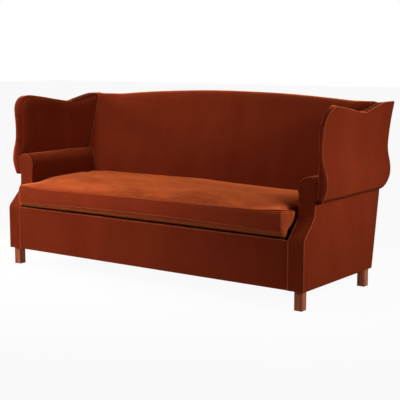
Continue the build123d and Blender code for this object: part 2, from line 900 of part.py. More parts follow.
def cushion_form(inset):
    """The bench cushion with an ear in front of each arm."""
    form = cushion_body(inset)
    ear = block(
        min(cushion_half, ear_reach) - ear_root, ear_reach - inset,
        cushion_front + inset, arm_post_setback,
        cushion_bottom + inset, cushion_seam - inset,
    )
    rounded = ear.edges().filter_by(Axis.Z).sort_by(Axis.X)[-2:].sort_by(Axis.Y)[0]
    ear = fillet(rounded, cushion_edge_draw)
    ear -= behind_arm_front(-side_gap - inset, 0, far)
    return form + ear + mirror(ear, about=Plane.YZ)


def cushion():
    """The core, the case in three parts, and the zip."""
    pieces = {}
    core = largest(cushion_form(layer))
    case = largest(cushion_form(0)) - cushion_form(cover)
    top_seam = cushion_seam - cushion_edge_draw - cover
    low_seam = cushion_bottom + cushion_edge_draw
    pieces["cushion_core"] = core
    pieces["cushion_top_panel"] = largest(case & block(-far, far, -far, far, top_seam, far))
    pieces["cushion_lower_panel"] = largest(case & block(-far, far, -far, far, 0, low_seam))
    boxing = case & block(-far, far, -far, far, low_seam, top_seam)
    zip_height = (top_seam + low_seam) / 2
    slot = block(
        -zip_length / 2, zip_length / 2,
        back_front - side_gap - cover, back_front,
        zip_height - zip_width / 2, zip_height + zip_width / 2,
    )
    pieces["cushion_boxing"] = largest(boxing - slot)
    pieces["cushion_zip"] = block(
        -zip_length / 2, zip_length / 2,
        cushion_rear - cover, cushion_rear - cover + zip_thickness,
        zip_height - zip_width / 2, zip_height + zip_width / 2,
    )
    slide_face = cushion_rear + gap
    slider = block(
        zip_length / 2 - slider_length, zip_length / 2,
        slide_face, slide_face + slider_thickness,
        zip_height - slider_width / 2, zip_height + slider_width / 2,
    )
    pull_middle = (zip_length - slider_length) / 2
    pull = block(
        pull_middle - pull_width / 2, pull_middle + pull_width / 2,
        slide_face, slide_face + slider_thickness / 2,
        zip_height - slider_width / 2 - pull_length, zip_height,
    )
    pieces["zip_slider"] = slider + pull
    return pieces


# ---- the whole settee ----------------------------------------------------------------
def settee():
    """All pieces by name, drilled for their fasteners."""
    pieces = {}
    pieces |= arms(back_space(gap))
    pieces |= back()
    pieces |= wings()
    pieces |= base()
    leg_pieces, leg_holes = legs()
    fastener_pieces, frame_holes = frame_fasteners()
    posts = ["right_arm_front_post", "left_arm_front_post", "right_back_post"]
    posts += ["left_back_post", "right_side_rail", "left_side_rail"]
    drill(pieces, posts + ["dust_cover"], leg_holes)
    jointed = posts + ["front_rail", "rear_rail", "back_tack_rail"]
    drill(pieces, jointed + ["arm_top_rails", "wing_rear_uprights"], frame_holes)
    pieces |= leg_pieces
    pieces |= fastener_pieces
    pieces |= cushion()
    return pieces


os.makedirs("parts", exist_ok=True)
named = {}
for name, shape in settee().items():
    solids = shape if isinstance(shape, list) else [shape]
    named[name] = Compound(children=[one for piece in solids for one in piece.solids()])
box = Compound([one for shape in named.values() for one in shape.solids()]).bounding_box()
middle_y = (box.min.Y + box.max.Y) / 2
for name, shape in named.items():
    export_step(Pos(0, -middle_y, 0) * shape, "parts/" + name + ".step")
print("nodes", len(named), "front border at y =", round(-middle_y, 3))
print("size", [round(length, 1) for length in (box.size.X, box.size.Y, box.size.Z)])
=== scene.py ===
import json
import math

import bmesh
import bpy
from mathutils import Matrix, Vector, noise
from mathutils.bvhtree import BVHTree


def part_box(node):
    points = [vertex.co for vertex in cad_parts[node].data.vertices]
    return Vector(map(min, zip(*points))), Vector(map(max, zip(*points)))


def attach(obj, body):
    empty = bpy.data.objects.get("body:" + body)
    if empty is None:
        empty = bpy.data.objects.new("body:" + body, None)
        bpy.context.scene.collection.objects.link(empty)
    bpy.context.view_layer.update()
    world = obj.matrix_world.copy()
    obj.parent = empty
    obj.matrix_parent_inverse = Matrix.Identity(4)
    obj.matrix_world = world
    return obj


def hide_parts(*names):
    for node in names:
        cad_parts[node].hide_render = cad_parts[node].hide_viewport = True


# High back settee in rust velvet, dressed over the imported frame.
# Sizes are in metres, and y is counted from the face of the front border.

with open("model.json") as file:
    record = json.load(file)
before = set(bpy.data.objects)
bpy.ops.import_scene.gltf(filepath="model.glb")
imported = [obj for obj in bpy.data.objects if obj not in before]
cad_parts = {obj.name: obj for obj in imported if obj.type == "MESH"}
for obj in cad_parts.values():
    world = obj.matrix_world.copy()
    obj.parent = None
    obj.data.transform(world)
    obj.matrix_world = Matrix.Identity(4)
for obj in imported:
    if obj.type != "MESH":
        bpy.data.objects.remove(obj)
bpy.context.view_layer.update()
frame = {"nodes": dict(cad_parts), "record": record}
nodes = frame["nodes"]
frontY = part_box("front_border_cover")[0].y
print("frame loaded,", len(nodes), "nodes")


def at(x, y, z):
    return Vector((x, y + frontY, z))


def clamp(t):
    return min(max(t, 0.0), 1.0)


def mix(a, b, t):
    return a + (b - a) * t


def smooth(t):
    t = clamp(t)
    return t * t * (3 - 2 * t)


def ramp(t, start, run):
    return smooth((t - start) / run)


def bell(t, middle, reach):
    # 1 in the middle, fading away to either side
    return math.exp(-((t - middle) / reach) ** 2)


def evenCuts(count):
    return [(i + 1) / (count + 1) for i in range(count)]


def endCuts(count, near=0.02):
    # evenly spaced cuts, with two more close to each end
    return [near / 3, near] + [mix(near, 1 - near, t) for t in evenCuts(count)] + [1 - near, 1 - near / 3]


def roundOff(distance, radius):
    # how far a surface falls away at a distance from its rounded edge
    if distance >= radius:
        return 0.0
    inside = radius - max(distance, 0.0)
    return radius - math.sqrt(max(radius * radius - inside * inside, 0.0))


def cutAcross(bm, spot, direction):
    geometry = bm.verts[:] + bm.edges[:] + bm.faces[:]
    bmesh.ops.bisect_plane(bm, geom=geometry, plane_co=spot, plane_no=direction)


def latticeBox(xCuts, yCuts, zCuts):
    # a closed unit box cut into a grid, for shaping point by point
    bm = bmesh.new()
    bmesh.ops.create_cube(bm, size=1)
    bmesh.ops.translate(bm, verts=bm.verts, vec=(0.5, 0.5, 0.5))
    for axis, cuts in enumerate((xCuts, yCuts, zCuts)):
        direction = [0, 0, 0]
        direction[axis] = 1
        for cut in cuts:
            spot = [0.5, 0.5, 0.5]
            spot[axis] = cut
            cutAcross(bm, spot, direction)
    return bm


def shapeBox(bm, place):
    for v in bm.verts:
        v.co = at(*place(*v.co))


def softenEdges(bm, width, segments=3, angle=50, above=0.0):
    # rounds the sharp edges, apart from those no higher than a level
    limit = math.radians(angle)
    edges = [e for e in bm.edges if len(e.link_faces) == 2 and e.calc_face_angle(0) > limit
             and max(v.co.z for v in e.verts) > above]
    bmesh.ops.bevel(bm, geom=edges, offset=width, offset_type="OFFSET", affect="EDGES",
                    segments=segments, profile=0.5, material=-1, clamp_overlap=True)


def mirrored(bm):
    # the same shape on the other side
    other = bm.copy()
    bmesh.ops.scale(other, verts=other.verts, vec=(-1, 1, 1))
    bmesh.ops.reverse_faces(other, faces=other.faces)
    return other


def addObject(name, data):
    made = bpy.data.objects.new(name, data)
    bpy.context.scene.collection.objects.link(made)
    return made


def meshObject(name, bm):
    mesh = bpy.data.meshes.new(name)
    bm.to_mesh(mesh)
    bm.free()
    return addObject(name, mesh)


def finishedMesh(made):
    # the object's mesh with its modifiers, or its curve's bevel, worked in
    bpy.context.view_layer.update()
    return bpy.data.meshes.new_from_object(made.evaluated_get(bpy.context.evaluated_depsgraph_get()))


def makePiece(name, bm, material, body="settee", slot="velvet", replaces=(), sharp=45, subdivide=0):
    bmesh.ops.remove_doubles(bm, verts=bm.verts, dist=1e-6)
    bmesh.ops.recalc_face_normals(bm, faces=bm.faces)
    piece = meshObject(name, bm)
    mesh = piece.data
    for polygon in mesh.polygons:
        polygon.use_smooth = True
    mesh.set_sharp_from_angle(angle=math.radians(sharp))
    mesh.materials.append(material)
    if subdivide:
        modifier = piece.modifiers.new("smooth", "SUBSURF")
        modifier.levels = subdivide
        modifier.render_levels = subdivide
    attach(piece, body)
    if replaces:
        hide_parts(*replaces)
    return piece


def piping(name, points, material, radius, closed=False, body="settee"):
    # a sewn cord along a line of points
    curve = bpy.data.curves.new(name, "CURVE")
    curve.dimensions = "3D"
    curve.bevel_depth = radius
    curve.bevel_resolution = 2
    curve.use_fill_caps = True
    spline = curve.splines.new("POLY")
    spline.points.add(len(points) - 1)
    for spot, point in zip(spline.points, points):
        spot.co = (*point, 1)
    spline.use_cyclic_u = closed
    holder = addObject(name + "Line", curve)
    mesh = finishedMesh(holder)
    bpy.data.objects.remove(holder)
    bm = bmesh.new()
    bm.from_mesh(mesh)
    bpy.data.meshes.remove(mesh)
    makePiece(name, bm, material, body=body, sharp=80)


def bothSides(name, bm, material, replaces=(), **settings):
    left = mirrored(bm)
    pieces = []
    for side, shape in (("right", bm), ("left", left)):
        names = [side + "_" + node for node in replaces]
        pieces.append(makePiece(side + "_" + name, shape, material, replaces=names, **settings))
    return pieces


def bothPipings(name, points, material, radius):
    other = [Vector((-p.x, p.y, p.z)) for p in points]
    piping("right_" + name, points, material, radius)
    piping("left_" + name, other, material, radius)


class Value:
    # wraps a socket, so that node maths reads as plain sums
    def __init__(self, tree, socket):
        self.tree = tree
        self.socket = socket

    def math(self, operation, first, second):
        return addNode(self.tree, "ShaderNodeMath", {"operation": operation}, {0: first, 1: second})

    def __add__(self, other):
        return self.math("ADD", self, other)

    def __sub__(self, other):
        return self.math("SUBTRACT", self, other)

    def __mul__(self, other):
        return self.math("MULTIPLY", self, other)


def addNode(tree, kind, settings=None, sockets=None, output=0):
    node = tree.nodes.new(kind)
    for name, value in (settings or {}).items():
        setattr(node, name, value)
    for name, value in (sockets or {}).items():
        if isinstance(value, Value):
            tree.links.new(value.socket, node.inputs[name])
        else:
            node.inputs[name].default_value = value
    return Value(tree, node.outputs[output])


def newMaterial(name, constants):
    material = bpy.data.materials.new(name)
    material.use_nodes = True
    tree = material.node_tree
    shader = tree.nodes["Principled BSDF"]
    for socket, value in constants.items():
        shader.inputs[socket].default_value = value
    return material, tree, shader


def feed(tree, shader, links):
    for socket, value in links.items():
        tree.links.new(value.socket, shader.inputs[socket])


def objectPlace(tree, scale=(1, 1, 1), turn=0.0):
    place = addNode(tree, "ShaderNodeTexCoord", output=3)
    return addNode(tree, "ShaderNodeMapping", {},
                   {"Vector": place, "Scale": scale, "Rotation": (0, 0, turn)})


def axesOf(tree, place):
    # how far a point is out to either side, back and up
    x, y, z = (addNode(tree, "ShaderNodeSeparateXYZ", {}, {0: place}, i) for i in range(3))
    return addNode(tree, "ShaderNodeMath", {"operation": "ABSOLUTE"}, {0: x}), y, z


def noiseOn(tree, place, scale, detail, roughness=0.5, distortion=0.0):
    return addNode(tree, "ShaderNodeTexNoise", {},
                   {"Vector": place, "Scale": scale, "Detail": detail,
                    "Roughness": roughness, "Distortion": distortion})


def softRange(tree, value, limits, ends=(0.0, 1.0)):
    return addNode(tree, "ShaderNodeMapRange", {"interpolation_type": "SMOOTHSTEP"},
                   {"Value": value, "From Min": limits[0], "From Max": limits[1],
                    "To Min": ends[0], "To Max": ends[1]})


def mixColour(tree, factor, *colours):
    first, second = (c if isinstance(c, Value) else (*c, 1) for c in colours)
    return addNode(tree, "ShaderNodeMix", {"data_type": "RGBA"}, {0: factor, 6: first, 7: second}, 2)


def bump(tree, height, strength, distance):
    return addNode(tree, "ShaderNodeBump", {},
                   {"Height": height, "Strength": strength, "Distance": distance})


velvetLook = {
    "deep": (0.124, 0.0147, 0.0052),     # nap lying away
    "bright": (0.168, 0.0215, 0.0075),   # nap brushed up
    "sheenTint": (1.0, 0.22, 0.062),
    "sheen": 1.0,
    "sheenRoughness": 0.33,
    "brushScale": 5.0,
    "pileScale": 900.0,
}


def velvetMaterial(name, look, seat=None, edge=None):
    material, tree, shader = newMaterial(name, {
        "Roughness": 0.9,
        "Specular IOR Level": 0.0,
        "Sheen Weight": look["sheen"],
        "Sheen Roughness": look["sheenRoughness"],
        "Sheen Tint": (*look["sheenTint"], 1),
    })
    place = objectPlace(tree)
    brushed = noiseOn(tree, objectPlace(tree, (1.6, 1.6, 0.35)), look["brushScale"], 2, 0.5, 0.4)
    patches = noiseOn(tree, place, look["brushScale"] * 4.5, 3, 0.6, 0.2)
    pile = noiseOn(tree, place, look["pileScale"], 2, 0.6)
    nap = brushed * 0.55 + patches * 0.3 + pile * 0.15
    spread = addNode(tree, "ShaderNodeMapRange", {}, {"Value": nap, "From Min": 0.28, "From Max": 0.72})
    colour = mixColour(tree, spread, look["deep"], look["bright"])
    if seat:
        colour = seatNapAndPaintedLight(tree, place, colour, seat)
    normal = bump(tree, pile * 0.5 + patches * 0.5, 0.35, 0.0006)
    feed(tree, shader, {"Base Color": colour, "Normal": normal})
    if edge:
        shadeEdges(tree, shader, edge)
    return material


def shadeEdges(tree, shader, look):
    # painted shade: the wing's lower edge and the ridge of its rise are mixed towards a plain dark shader,
    # in place of the shade they lie in
    across, y, z = axesOf(tree, objectPlace(tree))
    under = softRange(tree, z, look["under"], (look["underShare"], 0.0))
    ridge = softRange(tree, z - y * look["ridgeSlope"], look["ridge"])
    behind = softRange(tree, y, look["ridgeFrom"])
    inside = softRange(tree, across, look["ridgeInside"], (look["ridgeShare"], 0.0))
    plain = addNode(tree, "ShaderNodeBsdfDiffuse", {}, {"Color": (*look["paintedShadeColour"], 1)})
    pile = Value(tree, shader.outputs["BSDF"])
    share = under + ridge * behind * inside
    mixed = addNode(tree, "ShaderNodeMixShader", {}, {0: share, 1: pile, 2: plain})
    tree.links.new(mixed.socket, tree.nodes["Material Output"].inputs["Surface"])


# painted light on the seat cushion: a lighter top and ears, a painted highlight at the rear, painted sheen
# below the lower seam and painted shade underneath
seatLook = {
    "deep": (0.20, 0.033, 0.0098),
    "bright": (0.38, 0.070, 0.0175),
    "under": (0.19, 0.047, 0.0135),      # painted sheen on the band below the lower seam
    "paintedDeckShade": (0.02, 0.0035, 0.0015),    # painted shade, dark where it rests on the deck
    "paintedRearHighlight": (0.62, 0.17, 0.05),        # painted highlight on the far strip
    "crown": (0.462, 0.497),             # heights between which the lighter top takes over
    "roll": (0.388, 0.374),
    "shade": (0.364, 0.355),
    "ends": (0.88, 0.889),               # out to the ear's side face
    "rear": (-0.02, 0.19),
    "strokes": 3.2,
    "tufts": 26,
}


def seatNapAndPaintedLight(tree, place, colour, look):
    # painted sheen: the top and the ears' ends are made lighter, in slanting strokes of nap; painted
    # highlight on the far strip, painted sheen below the lower seam and painted shade where it rests on
    # the deck
    across, y, z = axesOf(tree, place)
    strokes = noiseOn(tree, objectPlace(tree, (1.0, 4.2, 1.0), -0.75), look["strokes"], 4, 0.6, 0.5)
    tufts = noiseOn(tree, place, look["tufts"], 3, 0.6)
    nap = softRange(tree, strokes * 0.75 + tufts * 0.25, (0.36, 0.64))
    brushed = mixColour(tree, nap, look["deep"], look["bright"])
    brushed = mixColour(tree, softRange(tree, y, look["rear"], (0.0, 0.75)), brushed, look["paintedRearHighlight"])
    colour = mixColour(tree, softRange(tree, z, look["crown"]), colour, brushed)
    colour = mixColour(tree, softRange(tree, across, look["ends"]) * 0.75, colour, brushed)
    colour = mixColour(tree, softRange(tree, z, look["roll"]) * 0.85, colour, look["under"])
    return mixColour(tree, softRange(tree, z, look["shade"]), colour, look["paintedDeckShade"])


woodLook = {
    "dark": (0.16, 0.037, 0.013),
    "light": (0.42, 0.104, 0.035),
    "grainScale": 34.0,
    "roughness": 0.42,
}


def woodMaterial(name, look, along=(14, 14, 1.1)):
    material, tree, shader = newMaterial(name, {"Specular IOR Level": 0.12})
    place = objectPlace(tree, along)
    bands = noiseOn(tree, place, look["grainScale"] / 10, 5, 0.6, 1.2)
    pores = noiseOn(tree, objectPlace(tree, tuple(5 * a for a in along)), look["grainScale"], 3, 0.6)
    mask = addNode(tree, "ShaderNodeMapRange", {},
                   {"Value": bands * 0.75 + pores * 0.25, "From Min": 0.35, "From Max": 0.65})
    colour = mixColour(tree, mask, look["dark"], look["light"])
    feed(tree, shader, {"Base Color": colour, "Roughness": mask * -0.12 + look["roughness"],
                        "Normal": bump(tree, pores, 0.25, 0.0004)})
    return material


def weaveMaterial(name, dark, light, count):
    # plain over-and-under weave from two wave textures
    material, tree, shader = newMaterial(name, {"Roughness": 0.85, "Specular IOR Level": 0.2})
    place = objectPlace(tree)
    warp = addNode(tree, "ShaderNodeTexWave", {"bands_direction": "X"}, {"Vector": place, "Scale": count})
    weft = addNode(tree, "ShaderNodeTexWave", {"bands_direction": "Y"}, {"Vector": place, "Scale": count})
    slub = noiseOn(tree, place, count * 0.4, 3)
    thread = warp * weft * 0.7 + slub * 0.3
    feed(tree, shader, {"Base Color": mixColour(tree, thread, dark, light),
                        "Normal": bump(tree, thread, 0.4, 0.0004)})
    return material


def softMaterial(name, dark, light):
    # felt, wadding and foam under the covers
    material, tree, shader = newMaterial(name, {"Roughness": 0.95, "Specular IOR Level": 0.1})
    fibres = noiseOn(tree, objectPlace(tree, (1, 1, 3)), 160, 6, 0.7, 1.5)
    feed(tree, shader, {"Base Color": mixColour(tree, fibres, dark, light),
                        "Normal": bump(tree, fibres, 0.5, 0.001)})
    return material


def wornMaterial(name, dark, light, constants, grain, roughness, spread):
    # metal or plastic with fine wear
    material, tree, shader = newMaterial(name, constants)
    wear = noiseOn(tree, objectPlace(tree), *grain)
    feed(tree, shader, {"Base Color": mixColour(tree, wear, dark, light),
                        "Roughness": wear * spread + roughness})
    return material


def metalMaterial(name, dark, light, roughness):
    return wornMaterial(name, dark, light, {"Metallic": 1.0}, (220, 5, 0.6), roughness, 0.2)


velvet = velvetMaterial("velvet", velvetLook)
# painted light: a lighter copy of the velvet for the seat cushion
litSeatLook = dict(velvetLook, deep=(0.175, 0.0215, 0.0075), bright=(0.23, 0.031, 0.0108))
seatVelvet = velvetMaterial("seat velvet", litSeatLook, seatLook)
# painted shade: a darker copy of the velvet, with less sheen, for the deck under the cushion
shadedDeckLook = dict(velvetLook, deep=(0.035, 0.0045, 0.0018), bright=(0.05, 0.0065, 0.0025), sheen=0.5)
shadedDeckVelvet = velvetMaterial("deck velvet", shadedDeckLook)
# painted shade for each wing, on its lower edge and on the ridge of its rise
wingShade = {
    "paintedShadeColour": (0.035, 0.0048, 0.0019),
    "under": (0.5262, 0.547),            # from the lower edge up
    "underShare": 0.9,
    "ridge": (0.903, 0.915),             # heights of the ridge, less its slope to the rear
    "ridgeSlope": 0.19,
    "ridgeFrom": (0.08, 0.15),
    "ridgeInside": (1.03, 1.037),
    "ridgeShare": 0.8,
}
wingVelvet = velvetMaterial("wing velvet", velvetLook, edge=wingShade)
# painted highlight: a lighter copy of the velvet for the cords, with a paler sheen tint
litPipingLook = dict(velvetLook, deep=(0.24, 0.044, 0.018), bright=(0.32, 0.066, 0.029),
                  sheenTint=(1.0, 0.32, 0.15))
litPipingVelvet = velvetMaterial("velvet piping", litPipingLook)
legWood = woodMaterial("walnut legs", woodLook)
frameLook = {"dark": (0.36, 0.22, 0.11), "light": (0.55, 0.38, 0.22), "grainScale": 30.0, "roughness": 0.6}
slotMaterials = {
    "velvet": velvet,
    "dust_cloth": weaveMaterial("dust cloth", (0.004, 0.004, 0.004), (0.02, 0.02, 0.02), 450),
    "webbing": weaveMaterial("webbing", (0.12, 0.09, 0.05), (0.3, 0.24, 0.14), 160),
    "wadding": softMaterial("wadding", (0.62, 0.6, 0.55), (0.8, 0.78, 0.73)),
    "cushion_filling": softMaterial("cushion filling", (0.7, 0.68, 0.6), (0.85, 0.83, 0.77)),
    "zip_tape": weaveMaterial("zip tape", (0.05, 0.008, 0.004), (0.13, 0.025, 0.01), 500),
    "zip_metal": metalMaterial("zip metal", (0.38, 0.24, 0.09), (0.6, 0.42, 0.18), 0.28),
    "steel": metalMaterial("zinc steel", (0.4, 0.4, 0.42), (0.6, 0.6, 0.62), 0.3),
    "glide_plastic": wornMaterial("glide plastic", (0.008, 0.008, 0.007), (0.02, 0.019, 0.017),
                                  {"Specular IOR Level": 0.4}, (300, 5, 0.7), 0.35, 0.3),
    "walnut": legWood,
    "dowel_beech": woodMaterial("dowel beech", dict(frameLook, light=(0.62, 0.45, 0.27)), (2, 14, 14)),
    "frame_hardwood": woodMaterial("frame hardwood", frameLook, (2, 9, 9)),
}
for subpart in frame["record"]["subparts"]:
    mesh = nodes[subpart["node"]].data
    mesh.materials.clear()
    mesh.materials.append(slotMaterials[subpart["material_slot"]])
print("materials made")


# lines that several pieces share
base = {"half": 1.0, "depth": 0.725, "hem": 0.1, "rake": math.tan(math.radians(9.65))}
arm = {"shoulder": 0.33, "shoulderRadius": 0.04, "neck": 0.49, "neckRadius": 0.105, "setback": 0.1,
       "inner": 0.91, "scrollX": 0.968, "scrollZ": 0.584, "radius": 0.064}
wing = {"front": 0.101, "bottom": 0.5255, "crest": 0.99, "dip": 0.944, "dipAt": 0.54, "rise": 0.215,
        "waist": 1.035, "rearWaist": 1.021, "waistZ": 0.77,
        "bulge": 0.03, "rearBulge": 0.03, "bulgeZ": 0.605,
        "flare": 0.038, "rearFlare": 0.022, "flareZ": 1.01, "tuck": 0.025, "innerWaist": 1.005,
        "innerCorner": 0.96, "cornerAt": 0.7, "swing": 0.43, "backCrest": 0.983}
back = {"half": 0.958, "front": 0.632, "crest": 1.019, "drop": 0.036, "arc": 0.806, "lip": 0.03}


def rearAt(z):
    return base["depth"] + base["rake"] * (z - base["hem"])


def crestAt(x):
    return back["crest"] - back["drop"] * min(abs(x) / back["arc"], 1) ** 2


def armFront(z):
    # the swept front of the arm: upright, round shoulder, slope, round neck, upright
    low = arm["shoulderRadius"]
    high = arm["neckRadius"]
    half = math.sqrt(0.5)
    if z <= arm["shoulder"]:
        return 0.0
    if z <= arm["shoulder"] + low * half:
        return low - math.sqrt(low ** 2 - (z - arm["shoulder"]) ** 2)
    if z >= arm["neck"]:
        return arm["setback"]
    if z >= arm["neck"] - high * half:
        return arm["setback"] - high + math.sqrt(high ** 2 - (arm["neck"] - z) ** 2)
    return low - low * half + z - arm["shoulder"] - low * half


def wingSwing(z, bulge, flare):
    # the S of the wing's outer face, out from its waist
    lowTurn = (wing["bulgeZ"] + wing["waistZ"]) / 2
    if z < wing["bulgeZ"]:
        drop = (wing["bulgeZ"] - z) / (wing["bulgeZ"] - wing["bottom"])
        return bulge - wing["tuck"] * drop ** 1.4
    if z < lowTurn:
        return bulge * (1 - 0.5 * ((z - wing["bulgeZ"]) / (lowTurn - wing["bulgeZ"])) ** 2)
    if z < wing["waistZ"]:
        return bulge * 0.5 * ((wing["waistZ"] - z) / (wing["waistZ"] - lowTurn)) ** 2
    return flare * ((z - wing["waistZ"]) / (wing["flareZ"] - wing["waistZ"])) ** 2


def wingOuter(y, z):
    share = clamp(y / rearAt(wing["crest"]))
    bulge = mix(wing["bulge"], wing["rearBulge"], share)
    flare = mix(wing["flare"], wing["rearFlare"], share)
    return mix(wing["waist"], wing["rearWaist"], share) + wingSwing(z, bulge, flare)


def wingInner(y, z):
    share = clamp(y / wing["cornerAt"])
    swing = max(wingSwing(z, wing["bulge"], wing["flare"]), 0)
    return mix(wing["innerWaist"], wing["innerCorner"], share) + mix(wing["swing"], 0, share) * swing


def easeBetween(a, b, t):
    # from one height to another, with soft ends
    return mix(a, b, 0.55 * t + 0.45 * smooth(t))


def wingTop(y, corner):
    # height of the wing's top edge over the depth
    startY = wing["front"] + corner
    if y < startY:
        return wing["crest"] - corner + math.sqrt(max(corner ** 2 - (startY - y) ** 2, 0))
    if y < wing["dipAt"]:
        return easeBetween(wing["crest"], wing["dip"], (y - startY) / (wing["dipAt"] - startY))
    height = easeBetween(wing["dip"], wing["backCrest"], clamp((y - wing["dipAt"]) / wing["rise"]))
    return height - roundOff(rearAt(height - wingLook["topRearRound"]) - y, wingLook["topRearRound"])


leg = {"size": 0.044, "x": 0.961, "frontY": 0.038, "rearY": 0.693, "bottom": 0.002, "top": 0.1003,
       "edge": 0.0018}


def makeLegs():
    for row, y in (("front", leg["frontY"]), ("rear", leg["rearY"])):
        for side, x in (("left", -leg["x"]), ("right", leg["x"])):
            bm = bmesh.new()
            bmesh.ops.create_cube(bm, size=1)
            bmesh.ops.scale(bm, verts=bm.verts, vec=(leg["size"], leg["size"], leg["top"] - leg["bottom"]))
            bmesh.ops.translate(bm, verts=bm.verts, vec=at(x, y, (leg["top"] + leg["bottom"]) / 2))
            softenEdges(bm, leg["edge"])
            node = row + "_" + side + "_leg"
            makePiece(node + "_block", bm, legWood, slot="walnut", replaces=[node], sharp=30)


makeLegs()
print("legs made")


border = {"thickness": 0.012, "top": 0.3462, "puff": 0.0025, "half": 0.9097, "edge": 0.007,
          "weltHalf": 0.905, "weltRadius": 0.0018}


def makeFrontBorder():
    bm = latticeBox(endCuts(24), [], endCuts(10, 0.03))

    def place(u, v, w):
        x = mix(-border["half"], border["half"], u)
        z = mix(base["hem"], border["top"], w)
        puff = border["puff"] * (4 * w * (1 - w)) ** 0.6 * smooth(12 * u) * smooth(12 * (1 - u))
        return x, mix(-puff, border["thickness"], v), z
    shapeBox(bm, place)
    softenEdges(bm, border["edge"], 4)
    makePiece("front_border", bm, velvet, replaces=["front_border_cover"])
    ends = (-border["weltHalf"], border["weltHalf"])
    line = [at(mix(*ends, i / 90), -0.0006, border["top"] - 0.0016) for i in range(91)]
    piping("front_border_welt", line, litPipingVelvet, border["weltRadius"])


seatDeck = {"half": 0.9097, "front": 0.0085, "rear": 0.692, "low": 0.3405, "top": 0.3478,
            "sag": 0.0012, "edge": 0.002}


def makeDeck():
    bm = latticeBox(endCuts(20), endCuts(8), [])

    def place(u, v, w):
        x = mix(-seatDeck["half"], seatDeck["half"], u)
        y = mix(seatDeck["front"], seatDeck["rear"], v)
        sag = seatDeck["sag"] * math.sin(math.pi * u) * math.sin(math.pi * v)
        return x, y, mix(seatDeck["low"], seatDeck["top"] - sag, w)
    shapeBox(bm, place)
    softenEdges(bm, seatDeck["edge"])
    deck = makePiece("seat_deck", bm, shadedDeckVelvet, replaces=["seat_deck_cover"])


outsideArm = {"thickness": 0.0025, "puff": 0.0022, "top": 0.535, "rearRadius": 0.009, "behind": 0.0015,
              "edge": 0.0011}


def makeOutsideArms():
    bm = latticeBox([], endCuts(18), endCuts(24))

    def place(u, v, w):
        z = mix(base["hem"], outsideArm["top"], w)
        frontEdge = armFront(z) + outsideArm["behind"]
        rearEdge = rearAt(z)
        y = mix(frontEdge, rearEdge, v)
        puff = outsideArm["puff"] * (4 * v * (1 - v)) ** 0.6 * smooth(8 * w)
        turn = roundOff(rearEdge - y, outsideArm["rearRadius"])
        outer = base["half"] + puff - turn
        return mix(outer - outsideArm["thickness"], outer, u), y, z
    shapeBox(bm, place)
    softenEdges(bm, outsideArm["edge"], 2)
    bothSides("outside_arm", bm, velvet, replaces=["outside_arm_cover"])


outsideBack = {"thickness": 0.0025, "puff": 0.002, "lowHalf": 0.9925, "half": 0.9597, "stepZ": 0.527,
               "stepAt": 0.4803, "underLip": 0.001, "edge": 0.0011}


def makeOutsideBack():
    # as wide as the base up to the wings, then between them
    step = outsideBack["stepAt"]
    bm = latticeBox(endCuts(30), [], endCuts(14) + [step - 0.0003, step + 0.0002])

    def place(u, v, w):
        half = outsideBack["lowHalf"] if w < step else outsideBack["half"]
        x = mix(-half, half, u)
        top = crestAt(x) - back["lip"] - outsideBack["underLip"]
        if w < step:
            z = mix(base["hem"], outsideBack["stepZ"], w / step)
        else:
            z = mix(outsideBack["stepZ"] + 0.0002, top, (w - step) / (1 - step))
        puff = outsideBack["puff"] * math.sin(math.pi * clamp(w)) * (4 * u * (1 - u)) ** 0.5
        return x, rearAt(z) + puff - outsideBack["thickness"] * (1 - v), z
    shapeBox(bm, place)
    softenEdges(bm, outsideBack["edge"], 2)
    makePiece("outside_back", bm, velvet, replaces=["outside_back_cover"])


makeFrontBorder()
makeDeck()
makeOutsideArms()
makeOutsideBack()
print("base covers made")


facing = {"thickness": 0.0025, "puff": 0.0028, "step": 0.012, "topDrop": 0.0025, "inset": 0.0005,
          "pipeInset": 0.0016, "pipeRadius": 0.0031, "pipeStep": 0.008,
          "rims": ((0.005, 0.6), (0.013, 0.4))}    # width of each rim, and its share of the puff


def scrollOutline(grow):
    # the arm seen from in front, from its inner foot over the scroll to its outer foot
    radius = arm["radius"] + grow
    inner = arm["inner"] - grow
    outer = base["half"] + grow
    startAngle = math.pi + math.asin(math.sqrt(radius ** 2 - (arm["scrollX"] - inner) ** 2) / radius)
    endAngle = -math.acos((outer - arm["scrollX"]) / radius)
    points = [(inner, base["hem"])]
    turns = 40
    for i in range(turns + 1):
        angle = mix(startAngle, endAngle, i / turns)
        rise = math.sin(angle) * (radius - facing["topDrop"] if math.sin(angle) > 0 else radius)
        points.append((arm["scrollX"] + radius * math.cos(angle), arm["scrollZ"] + rise))
    points.append((outer, base["hem"]))
    return points


def makeFacings():
    bm = bmesh.new()
    outline = [bm.verts.new((x, 0, z)) for x, z in scrollOutline(-facing["inset"])]
    face = bm.faces.new(outline)
    bm.normal_update()
    if face.normal.y > 0:
        bmesh.ops.reverse_faces(bm, faces=[face])
    for width, share in facing["rims"]:
        inner = [max(bm.faces, key=lambda f: f.calc_area())]
        bmesh.ops.inset_region(bm, faces=inner, thickness=width, depth=facing["puff"] * share,
                               use_even_offset=True)
    z = base["hem"] + facing["step"]
    while z < arm["scrollZ"] + arm["radius"]:
        cutAcross(bm, (0, 0, z), (0, 0, 1))
        z += facing["step"]
    bmesh.ops.solidify(bm, geom=bm.faces[:], thickness=facing["thickness"])
    for v in bm.verts:
        v.co = at(v.co.x, v.co.y + armFront(v.co.z) + facing["inset"], v.co.z)
    bothSides("arm_facing_panel", bm, velvet, replaces=["arm_facing"], sharp=60)


